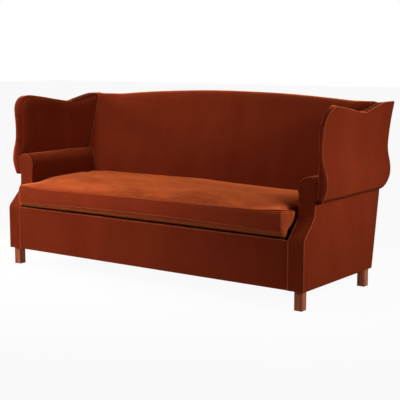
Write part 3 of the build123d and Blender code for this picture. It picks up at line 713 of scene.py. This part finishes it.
def facingPipings():
    line = scrollOutline(-facing["pipeInset"])
    points = []
    for (x0, z0), (x1, z1) in zip(line, line[1:]):
        steps = max(1, round(math.hypot(x1 - x0, z1 - z0) / facing["pipeStep"]))
        points += [(mix(x0, x1, i / steps), mix(z0, z1, i / steps)) for i in range(steps)]
    points.append(line[-1])
    # it stands out a little where it meets the front border
    points = [at(x, armFront(z) + (-0.0012 if x < 0.92 and z < 0.34 else 0.0008), z) for x, z in points]
    bothPipings("facing_piping", points, litPipingVelvet, facing["pipeRadius"])


roll = {"behind": 0.0028, "end": 0.734, "foot": 0.349, "thickness": 0.024, "inset": 0.0012,
        "flare": 0.0055, "flareReach": 0.05, "turned": 0.03, "turnedReach": 0.014,
        "ripple": 0.0012, "edge": 0.002}


def makeArmRolls():
    bm = bmesh.new()
    radius = arm["radius"] - roll["inset"]
    turns = 44
    section = []
    for i in range(turns + 1):
        angle = mix(-math.radians(60), math.pi, i / turns)
        section.append((arm["scrollX"] + radius * math.cos(angle),
                        arm["scrollZ"] + radius * math.sin(angle)))
    # down the inside arm and back up behind the padding
    inner = arm["scrollX"] - radius
    section += [(inner, roll["foot"]), (inner + roll["thickness"], roll["foot"])]
    section += [(inner + roll["thickness"], arm["scrollZ"] - 0.02),
                (arm["scrollX"] + 0.01, arm["scrollZ"] - 0.045)]
    ring = [bm.verts.new((x, 0, z)) for x, z in section]
    end = bm.faces.new(ring)
    extruded = bmesh.ops.extrude_face_region(bm, geom=[end])
    moved = [g for g in extruded["geom"] if isinstance(g, bmesh.types.BMVert)]
    bmesh.ops.translate(bm, verts=moved, vec=(0, 1, 0))
    for cut in endCuts(16):
        cutAcross(bm, (0, cut, 0), (0, 1, 0))
    for i in range(1, 20):
        cutAcross(bm, (0, 0, mix(roll["foot"], arm["scrollZ"], i / 20)), (0, 0, 1))
    for v in bm.verts:
        x, share, z = v.co
        start = armFront(z) + roll["behind"]
        y = mix(start, roll["end"], share)
        below = smooth((arm["scrollZ"] - 0.02 - z) / 0.04)
        toFacing = smooth(1 - (y - start) / roll["flareReach"]) * below
        x += roll["flare"] * toFacing if x < arm["scrollX"] else 0
        turned = 1 - clamp((y - start) / roll["turnedReach"])
        z -= max(z - arm["scrollZ"], 0) * roll["turned"] * turned ** 2
        ripple = roll["ripple"] * noise.noise(Vector((x * 8, y * 7, z * 8)))
        v.co = at(x - ripple, y, z + ripple)
    bmesh.ops.recalc_face_normals(bm, faces=bm.faces)
    softenEdges(bm, roll["edge"], 2)
    for piece in bothSides("arm_roll", bm, velvet, replaces=["inside_arm_cover", "arm_padding"]):
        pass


makeFacings()
facingPipings()
makeArmRolls()
print("arms made")


insideBack = {"foot": 0.3485, "bendLength": 0.12, "bendRun": 0.042, "slopeRun": 0.112, "round": 0.06,
              "endRound": 0.018, "edge": 0.014, "shell": 0.02, "lowerHalf": 0.9025, "soft": 0.0016,
              "rollGap": 0.0015, "aboveRoll": 0.004, "fold": 0.002, "weltIn": 0.004, "weltOut": 0.0016,
              "weltRadius": 0.0024}


def circleThrough(a, b, c):
    # centre and radius of the circle through three points of the y-z plane
    ax, ay = a
    bx, by = b
    cx, cy = c
    d = 2 * (ax * (by - cy) + bx * (cy - ay) + cx * (ay - by))
    aa, bb, cc = (p * p + q * q for p, q in (a, b, c))
    ux = (aa * (by - cy) + bb * (cy - ay) + cc * (ay - by)) / d
    uy = (aa * (cx - bx) + bb * (ax - cx) + cc * (bx - ax)) / d
    return (ux, uy), math.hypot(ax - ux, ay - uy)


def arcPoints(a, b, c, count):
    # points on the arc from a past b to c, turning clockwise
    (ux, uy), radius = circleThrough(a, b, c)
    angles = [math.atan2(p[1] - uy, p[0] - ux) for p in (a, b, c)]
    while angles[1] > angles[0]:
        angles[1] -= 2 * math.pi
    while angles[2] > angles[1]:
        angles[2] -= 2 * math.pi
    if angles[0] - angles[2] > 2 * math.pi:
        angles[2] += 2 * math.pi
    return [(ux + radius * math.cos(mix(angles[0], angles[2], i / count)),
             uy + radius * math.sin(mix(angles[0], angles[2], i / count))) for i in range(count + 1)]


def bendOver(a, control, b, count):
    # points on a curve that leaves a and reaches b along the lines to the control point
    points = []
    for i in range(1, count + 1):
        t = i / count
        points.append(tuple(mix(mix(p, c, t), mix(c, q, t), t) for p, c, q in zip(a, control, b)))
    return points


def backProfile(x):
    # the inside back from its foot up over the crest to the lip, as (y, z)
    crest = crestAt(x)
    rollTop = arm["scrollZ"] + arm["radius"]
    bendStart = (back["front"], rollTop - insideBack["bendLength"])
    bend = (back["front"] + insideBack["bendRun"] / 4, rollTop)
    bendEnd = (back["front"] + insideBack["bendRun"], rollTop + insideBack["bendLength"] * 0.75)
    slopeHeight = back["crest"] - insideBack["round"] - bendEnd[1]
    slant = (insideBack["slopeRun"] - insideBack["bendRun"]) / slopeHeight
    topRound = mix(insideBack["round"], insideBack["endRound"], smooth((abs(x) - 0.8) / 0.15))
    slopeEnd = (bendEnd[0] + slant * (crest - topRound - bendEnd[1]), crest - topRound)
    corner = (slopeEnd[0] + slant * topRound, crest)
    summit = (corner[0] + topRound * 0.9, crest)
    lip = (rearAt(crest - back["lip"]), crest - back["lip"])
    lower = [(back["front"], mix(insideBack["foot"], bendStart[1], i / 7)) for i in range(7)]
    bent = arcPoints(bendStart, bend, bendEnd, 9)[:-1]
    slope = [tuple(mix(p, q, i / 10) for p, q in zip(bendEnd, slopeEnd)) for i in range(11)]
    over = bendOver(slopeEnd, corner, summit, 9)
    behind = bendOver(summit, (rearAt(crest), crest), lip, 9)
    return lower + bent + slope + over + behind


def backHalf(z):
    # half width of the inside back: between the arms, then over their rolls to the wings
    rollTop = arm["scrollZ"] + arm["radius"]
    if z < arm["scrollZ"]:
        return insideBack["lowerHalf"]
    if z > rollTop + insideBack["aboveRoll"]:
        return back["half"]
    reach = arm["radius"] + insideBack["rollGap"]
    across = math.sqrt(max(reach ** 2 - (z - arm["scrollZ"]) ** 2, 0))
    return min(arm["scrollX"] - across, back["half"])


def makeInsideBack():
    rows = len(backProfile(0)) - 1
    bm = latticeBox(endCuts(44, 0.012) + [0.0075, 0.9925], [], evenCuts(rows - 1))

    def place(u, v, w):
        side = 2 * u - 1
        index = round(w * rows)
        half = backHalf(backProfile(back["half"] * side)[index][1])
        x = half * side
        profile = backProfile(x)
        y, z = profile[index]
        before = profile[max(index - 1, 0)]
        after = profile[min(index + 1, rows)]
        along = Vector((after[0] - before[0], after[1] - before[1])).normalized()
        inward = Vector((along.y, -along.x))
        depth = insideBack["shell"] * v + roundOff(half - abs(x), insideBack["edge"]) * (1 - v)
        soft = insideBack["soft"] * noise.noise(Vector((x * 3.1, z * 3.7, 4.2)))
        point = Vector((y, z)) + inward * (depth + soft * (1 - v))
        # its lining stays within the back's rear plane
        y = min(point.x, rearAt(point.y) - 0.001)
        return x, y, max(point.y, z - insideBack["shell"]) if y < point.x else point.y
    shapeBox(bm, place)
    softenEdges(bm, insideBack["fold"], 2, 60)
    piece = makePiece("inside_back", bm, velvet, sharp=60,
                      replaces=["inside_back_cover", "back_padding"])


def backWelts():
    # a fine cord in the crease down each side of the inside back
    points = []
    for index in range(4, len(backProfile(0)) - 9):
        half = backHalf(backProfile(back["half"])[index][1])
        y, z = backProfile(half)[index]
        points.append(at(half - insideBack["weltIn"], y + insideBack["weltOut"], z))
    bothPipings("inside_back_welt", points, litPipingVelvet, insideBack["weltRadius"])


makeInsideBack()
backWelts()
print("inside back made")


wingLook = {"innerCorner": 0.112, "outerCorner": 0.095, "facePuff": 0.004, "outPuff": 0.003,
            "topLift": 0.003, "outerDrop": 0.0075, "rearTilt": 0.006, "rearRound": 0.021,
            "topRearRound": 0.016, "lowRearRound": (0.003, 0.045), "underRound": 0.0015,
            "rollDepth": (0.028, 0.036), "rollReach": (0.075, 0.045), "lowRoll": 0.009, "rearPuff": 0.003,
            "rollFrom": (0.63, 0.09), "steepest": -0.5, "frontCrown": 0.008, "edge": 0.0028,
            "pipeRadius": 0.0024}


def overTheEdge(a, b, depth, reach):
    # moves a point near the edge of two faces onto a round
    # a and b are its depths under the two faces
    a, b = a / depth, b / reach
    if a < 1 and b < 1:
        away = math.hypot(a - 1, b - 1)
        a, b = 1 + (a - 1) / away, 1 + (b - 1) / away
    return a * depth, b * reach


def wingPlace(u, v, w):
    # u from front to rear, v from bottom to top, w from the inner face to the outer face
    corner = mix(wingLook["innerCorner"], wingLook["outerCorner"], w)
    spread = u ** 1.6
    z = mix(wing["bottom"], wing["crest"], v)
    lowRound = mix(*wingLook["lowRearRound"], smooth((w - 0.45) * 4))
    # the depth and the height depend on each other, so both are worked out twice
    for turn in range(2):
        rear = rearAt(z) - roundOff(z - wing["bottom"], lowRound)
        y = mix(wing["front"], rear, spread)
        z = mix(wing["bottom"], wingTop(y, corner), v)
    middle = 4 * v * (1 - v)
    inner = wingInner(y, z)
    outer = wingOuter(y, z) + wingLook["outPuff"] * middle ** 0.4
    if w < 0.001:
        inner -= wingLook["facePuff"] * middle ** 0.5 * smooth(u * 3) * smooth((0.65 - u) * 6)
    # the inner face rolls softly over the front and the top
    step = 0.001
    slope = (wingTop(y + step, corner) - wingTop(y, corner)) / step
    outward = Vector((max(slope, wingLook["steepest"]), -1)).normalized()
    fromTop = -outward.y * (wingTop(y, corner) - z)
    fromFront = y - wing["front"]
    share = clamp(y / rearAt(wing["crest"]))
    above = ramp(z, *wingLook["rollFrom"])
    rollDepth = mix(wingLook["lowRoll"], mix(*wingLook["rollDepth"], share), above)
    rollReach = mix(wingLook["lowRoll"], mix(*wingLook["rollReach"], share), above)
    a, b = overTheEdge(w * (outer - inner), min(fromTop, fromFront), rollDepth, rollReach)
    move = b - min(fromTop, fromFront)
    behind = roundOff(rear + wingLook["rearPuff"] - y, wingLook["rearRound"])
    under = roundOff(z - wing["bottom"], wingLook["underRound"])
    x = inner + a - (behind + under) * w
    rising = smooth((y - wing["dipAt"] + 0.05) / 0.12)
    inside = mix(wingLook["topLift"], -wingLook["rearTilt"], rising)
    lift = mix(inside, -wingLook["outerDrop"] * (1 - rising), w) * smooth((v - 0.75) * 4)
    if fromFront < fromTop:
        y += move
    else:
        y += move * outward.x
        z += move * outward.y
    y += wingLook["rearPuff"] * smooth((u - 0.9) * 10) * mix(0.95, 1, math.sin(math.pi * v))
    y -= wingLook["frontCrown"] * (4 * w * (1 - w)) ** 0.8 * smooth(1 - u * 30)
    return x, y, z + lift


def makeWings():
    # closer cuts where the edges turn
    depths = endCuts(34, 0.006) + [0.955, 0.968, 0.981, 0.987, 0.991]
    heights = evenCuts(24) + [0.012, 0.026, 0.062, 0.1, 0.93, 0.945, 0.962, 0.974, 0.985, 0.994]
    bm = latticeBox(depths, sorted(heights), evenCuts(8))
    shapeBox(bm, wingPlace)
    softenEdges(bm, wingLook["edge"], 2, 55, above=wing["bottom"] + 0.004)
    covers = ["outside_wing_cover", "inside_wing_cover", "wing_border", "inner_wing_padding"]
    for piece in bothSides("wing", bm, wingVelvet, replaces=covers, sharp=60):
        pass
    # a cord up the front and over the top of the outer face
    points = [at(*wingPlace(0, i / 24, 1)) for i in range(25)]
    points += [at(*wingPlace((i / 70) ** 1.3, 1, 1)) for i in range(1, 70)]
    points = [p + Vector((-0.0012, 0.001, -0.0006)) for p in points]
    bothPipings("wing_piping", points, litPipingVelvet, wingLook["pipeRadius"])


makeWings()
print("wings made")


cushion = {"half": 0.896, "front": -0.028, "rear": 0.6253, "bottom": 0.3487, "seam": 0.4735,
           "lowSeam": 0.376, "tilt": 0.012, "endLift": 0.013, "lowBow": 0.022, "underReach": 0.09,
           "crown": 0.054, "lowCrown": 0.026, "sideRound": 0.05, "hollow": 0.014, "sag": 0.3,
           "earHalf": 0.914, "earFront": 0.893, "earRoot": 0.84, "earDepth": 0.014, "earRun": 0.075,
           "gap": 0.024, "lowGap": 0.02, "notch": 0.036, "frontPuff": 0.004,
           "pipeRadius": 0.0022, "pipeStep": 0.008, "wobble": 0.001}
# where each form starts or peaks, and how far it runs
forms = {"endLift": (0.7, 0.19), "lowBow": (0.12, 1.03), "rearFall": (0.86, 0.14), "sag": (0.55, 0.37),
         "sunkRight": (-0.25, 1.0), "sunkRear": (0.15, 0.6), "hollowEnd": (0.72, 0.16),
         "hollow": (0.1, 0.085), "gap": (0.4, 0.07), "notch": (0.09, 0.055)}
puffing = {"voxel": 0.009, "pressure": 4.0, "frames": 20, "cap": 0.022,
           "edge": 0.012, "seam": 0.008, "bottom": 0.004, "rear": 0.006}    # held within these
wrinkles = {"fold": 0.0024, "foldReach": 0.02, "crease": 0.0014, "soft": 0.004, "softFrom": (0.48, 0.02)}
# where the finished skin stays, clear of the arms, the deck and the back
cushionLimits = {"half": 0.9025, "behind": 0.12, "bottom": 0.3483, "rear": 0.6262}


def cushionSeamZ(x):
    lift = cushion["endLift"] * ramp(abs(x), *forms["endLift"])
    return cushion["seam"] + cushion["tilt"] * x + lift


def cushionLowSeamZ(x):
    # the seam bows up between the ends
    middle, reach = forms["lowBow"]
    return cushion["lowSeam"] + cushion["lowBow"] * max(1 - ((x - middle) / reach) ** 2, 0) ** 1.25


def endFall(t, start, run):
    return clamp((t - start) / run) ** 3


def cushionTop(x, y):
    # the crowned top: rising softly behind the front seam, full up to the back, sunk at its rear right
    share = clamp((y - cushion["front"]) / (cushion["rear"] - cushion["front"]))
    rise = 1 - (1 - clamp(share * 2)) ** 2.2
    drop = 1 - endFall(share, *forms["rearFall"])
    side = 1 - cushion["sag"] * endFall(abs(x), *forms["sag"])
    sunk = ramp(x, *forms["sunkRight"]) * ramp(share, *forms["sunkRear"])
    crown = mix(cushion["crown"], cushion["lowCrown"], sunk) * rise * drop * side
    crown -= cushion["hollow"] * ramp(x, *forms["hollowEnd"]) * bell(y, *forms["hollow"])
    height = mix(cushion["seam"] + cushion["tilt"] * x, cushionSeamZ(x), 1 - rise)
    fall = mix(0.35, 0.7, smooth(x + 0.5)) * rise
    return height + crown - fall * roundOff(cushionHalf(y) - abs(x), cushion["sideRound"])


def earRear(z):
    gap = mix(cushion["lowGap"], cushion["gap"], ramp(z, *forms["gap"]))
    return max(armFront(z) - gap, cushion["front"] + cushion["earDepth"])


def earSide(y):
    # the ear's side face runs out a little towards the rear
    return mix(cushion["earFront"], cushion["earHalf"], clamp((y - cushion["front"]) / cushion["earRun"]))


def cushionHalf(y):
    # narrower in the notch beside the arm's front
    half = cushion["half"] - cushion["notch"] * bell(y, *forms["notch"])
    return min(half, earSide(y) - 0.002) if y < 0.05 else half


def cushionBlock(side, xCuts, yCuts):
    # side 0 is the body, 1 and -1 are the ears that come round the arms
    bm = latticeBox(evenCuts(xCuts), evenCuts(yCuts), evenCuts(7))

    def place(u, v, w):
        z = mix(cushion["bottom"], cushion["seam"], w)
        rear = earRear(z) if side else cushion["rear"]
        y = mix(cushion["front"], rear, v)
        half = cushionHalf(y)
        x = mix(cushion["earRoot"], earSide(y), u) * side if side else mix(-half, half, u)
        z += (cushionSeamZ(x) - cushion["seam"]) * w
        under = roundOff(y - cushion["front"], cushion["underReach"]) / cushion["underReach"]
        z += (cushionLowSeamZ(x) - cushion["bottom"]) * under * (1 - w) ** 2
        if w > 0.999:
            z = cushionTop(x, y)
        if v < 0.001:
            y -= cushion["frontPuff"] * 4 * w * (1 - w)
        return x, y, z
    shapeBox(bm, place)
    return bm


def joinMeshes(parts):
    whole = bmesh.new()
    for part in parts:
        bmesh.ops.recalc_face_normals(part, faces=part.faces)
        mesh = bpy.data.meshes.new("part")
        part.to_mesh(mesh)
        part.free()
        whole.from_mesh(mesh)
        bpy.data.meshes.remove(mesh)
    return whole


def cushionStart():
    # the body and both ears as one skin
    blocks = [cushionBlock(0, 70, 40), cushionBlock(1, 6, 10), cushionBlock(-1, 6, 10)]
    start = meshObject("cushionStart", joinMeshes(blocks))
    remesh = start.modifiers.new("remesh", "REMESH")
    remesh.mode = "VOXEL"
    remesh.voxel_size = puffing["voxel"]
    remeshed = finishedMesh(start)
    start.modifiers.clear()
    start.data = remeshed
    return start


def puffUp(start):
    # pressure in a cloth skin; seams, the resting face and the zip side stay where they are
    rest = [v.co.copy() for v in start.data.vertices]
    group = start.vertex_groups.new(name="held")
    for v in start.data.vertices:
        x, y, z = v.co.x, v.co.y - frontY, v.co.z
        near = puffing["edge"]
        atEdge = (y < cushion["front"] + near or y > cushion["rear"] - near
                  or abs(x) > cushionHalf(y) - near)
        toSeam = min(abs(z - cushionSeamZ(x)), abs(z - cushionLowSeamZ(x)))
        onSeam = atEdge and toSeam < puffing["seam"]
        resting = z < cushion["bottom"] + puffing["bottom"]
        if onSeam or resting or y > cushion["rear"] - puffing["rear"]:
            group.add([v.index], 1.0, "REPLACE")
    cloth = start.modifiers.new("cloth", "CLOTH")
    settings = cloth.settings
    settings.use_pressure = True
    settings.uniform_pressure_force = puffing["pressure"]
    settings.effector_weights.gravity = 0
    settings.vertex_group_mass = "held"
    settings.quality = 5
    scene = bpy.context.scene
    cloth.point_cache.frame_start = 1
    cloth.point_cache.frame_end = puffing["frames"]
    for number in range(1, puffing["frames"] + 1):
        scene.frame_set(number)
    evaluated = start.evaluated_get(bpy.context.evaluated_depsgraph_get())
    puffed = [v.co.copy() for v in evaluated.data.vertices]
    start.modifiers.clear()
    scene.frame_set(1)
    moves = [after - before for before, after in zip(rest, puffed)]
    print("cushion puffed by up to", round(max(move.length for move in moves), 4))
    for v, before, move in zip(start.data.vertices, rest, moves):
        if move.length > puffing["cap"]:
            move *= puffing["cap"] / move.length
        v.co = before + move


def makeCushion():
    start = cushionStart()
    puffUp(start)
    bm = bmesh.new()
    bm.from_mesh(start.data)
    bpy.data.objects.remove(start)
    for turn in range(2):
        bmesh.ops.smooth_vert(bm, verts=bm.verts, factor=0.5,
                              use_axis_x=True, use_axis_y=True, use_axis_z=True)
    bm.normal_update()
    for v in bm.verts:
        x, y, z = v.co.x, v.co.y - frontY, v.co.z
        # puckers along the lower seam, creases over the front and a soft unevenness on top
        pucker = math.exp(-((z - cushionLowSeamZ(x)) / wrinkles["foldReach"]) ** 2) * (y < 0.0)
        fold = noise.noise(Vector((x * 55, z * 9, 0.3))) * wrinkles["fold"] * pucker
        crease = noise.noise(Vector((x * 26, z * 4, 2.3))) * wrinkles["crease"] * (y < 0.0)
        onTop = ramp(z, *wrinkles["softFrom"])
        soft = noise.noise(Vector((x * 3.3, y * 4.1, 1.7))) * wrinkles["soft"] * onTop
        v.co += v.normal * (fold + crease + soft)
        if y > cushionLimits["behind"]:
            v.co.x = max(-cushionLimits["half"], min(cushionLimits["half"], v.co.x))
        v.co.z = max(v.co.z, cushionLimits["bottom"])
        v.co.y = min(v.co.y, frontY + cushionLimits["rear"])
    surface = BVHTree.FromBMesh(bm)
    inside = ["cushion_core", "cushion_top_panel", "cushion_lower_panel", "cushion_boxing"]
    piece = makePiece("bench_cushion", bm, seatVelvet, body="seat_cushion", sharp=80, subdivide=1,
                      replaces=inside)
    return surface


def cushionOutline(z):
    # once round the cushion at a height, from the rear left corner by the front
    earBack = earRear(z)
    notched = cushionHalf(0.08)
    corners = [(-cushion["half"], cushion["rear"]), (-cushion["half"], 0.14), (-notched, 0.085),
               (-notched, earBack), (-earSide(earBack), earBack), (-cushion["earFront"], cushion["front"])]
    corners += [(-x, y) for x, y in reversed(corners)]
    points = []
    for (x0, y0), (x1, y1) in zip(corners, corners[1:] + corners[:1]):
        count = max(2, round(math.hypot(x1 - x0, y1 - y0) / cushion["pipeStep"]))
        points += [(mix(x0, x1, i / count), mix(y0, y1, i / count)) for i in range(count)]
    return points


def cushionPipings(surface):
    # each cord is laid on the finished skin, along its seam
    seams = (("cushion_top_piping", cushion["seam"], cushionSeamZ, velvet),
             ("cushion_lower_piping", cushion["lowSeam"], cushionLowSeamZ, litPipingVelvet))
    for name, level, seamZ, cover in seams:
        line = []
        for x, y in cushionOutline(level):
            z = seamZ(x)
            wobble = cushion["wobble"] * noise.noise(Vector((x * 40, y * 40, z)))
            spot, normal = surface.find_nearest(at(x, y, z + wobble))[:2]
            line.append(spot + normal * 0.0006)
        for turn in range(3):
            line = [(line[i - 1] + line[i] * 2 + line[(i + 1) % len(line)]) / 4 for i in range(len(line))]
        piping(name, line, cover, cushion["pipeRadius"], closed=True, body="seat_cushion")


cushionPipings(makeCushion())
print("cushion made")


studio = {"floor": (0.8, 0.8, 0.8), "reach": 30, "shadow": 0.06, "air": (1, 0.985, 0.96), "world": 0.015}
# each with its place, target, size, power and spread in degrees
lights = (
    ("key", (-1.3, -2.6, 2.3), (-0.6, 0.2, 0.4), (1.0, 1.0), 15, 66),
    ("top", (-1.1, 0.8, 3.2), (-0.25, 0.4, 0.5), (2.2, 0.6), 11, 130),
    ("side", (3.3, 0.2, 1.45), (1.03, 0.42, 0.6), (1.1, 0.5), 9.5, 60),
    ("rim", (-3.2, -0.6, 1.2), (-1.0, 0.2, 0.65), (0.7, 0.9), 9, 80),
    ("low rim", (-3.0, 0.3, 1.2), (-1.0, 0.2, 0.7), (0.7, 0.9), 9, 60),
)
# from the photograph's perspective, with its focal length and width in pixels
photoView = {"place": (3.387, -4.1159, 1.2348), "down": 0.14368, "turn": 0.62958,
             "sensor": 36, "focal": 1013.9, "width": 400}


def whiteWhereSeen(tree, output, share, lit, values, glow):
    # white for what the camera sees straight, mirrored or through something; lit as usual otherwise
    tree.nodes.clear()
    path = tree.nodes.new("ShaderNodeLightPath")
    seen = Value(tree, path.outputs["Is Camera Ray"]) + Value(tree, path.outputs["Is Glossy Ray"])
    seen = seen + Value(tree, path.outputs["Is Transmission Ray"])
    factor = addNode(tree, "ShaderNodeMath", {"operation": "MULTIPLY", "use_clamp": True},
                     {0: seen, 1: share})
    plain = addNode(tree, lit, {}, values)
    white = addNode(tree, glow, {}, {"Color": (1, 1, 1, 1), "Strength": 1.0})
    shader = addNode(tree, "ShaderNodeMixShader", {}, {0: factor, 1: plain, 2: white})
    tree.links.new(shader.socket, tree.nodes.new(output).inputs["Surface"])


def makeFloor():
    bm = bmesh.new()
    bmesh.ops.create_grid(bm, x_segments=1, y_segments=1, size=studio["reach"])
    floor = meshObject("floor", bm)
    material = bpy.data.materials.new("pale floor")
    material.use_nodes = True
    whiteWhereSeen(material.node_tree, "ShaderNodeOutputMaterial", 1 - studio["shadow"],
                   "ShaderNodeBsdfDiffuse", {"Color": (*studio["floor"], 1)}, "ShaderNodeEmission")
    floor.data.materials.append(material)


def makeWorld():
    world = bpy.data.worlds.new("studio")
    bpy.context.scene.world = world
    world.use_nodes = True
    air = {"Color": (*studio["air"], 1), "Strength": studio["world"]}
    whiteWhereSeen(world.node_tree, "ShaderNodeOutputWorld", 1.0,
                   "ShaderNodeBackground", air, "ShaderNodeBackground")


def softLight(name, place, target, size, power, spread):
    light = bpy.data.lights.new(name, "AREA")
    light.shape = "RECTANGLE"
    light.size, light.size_y = size
    light.energy = power
    light.spread = math.radians(spread)
    lamp = addObject(name, light)
    lamp.location = at(*place)
    lamp.rotation_euler = (at(*target) - lamp.location).to_track_quat("-Z", "Y").to_euler()


def makeCamera():
    data = bpy.data.cameras.new("camera")
    data.sensor_width = photoView["sensor"]
    data.lens = photoView["sensor"] * photoView["focal"] / photoView["width"]
    camera = addObject("camera", data)
    camera.location = at(*photoView["place"])
    camera.rotation_euler = (math.pi / 2 - photoView["down"], 0, photoView["turn"])
    bpy.context.scene.camera = camera


makeFloor()
makeWorld()
for light in lights:
    softLight(*light)
makeCamera()
bpy.context.scene.view_settings.view_transform = "Standard"
print("studio made")
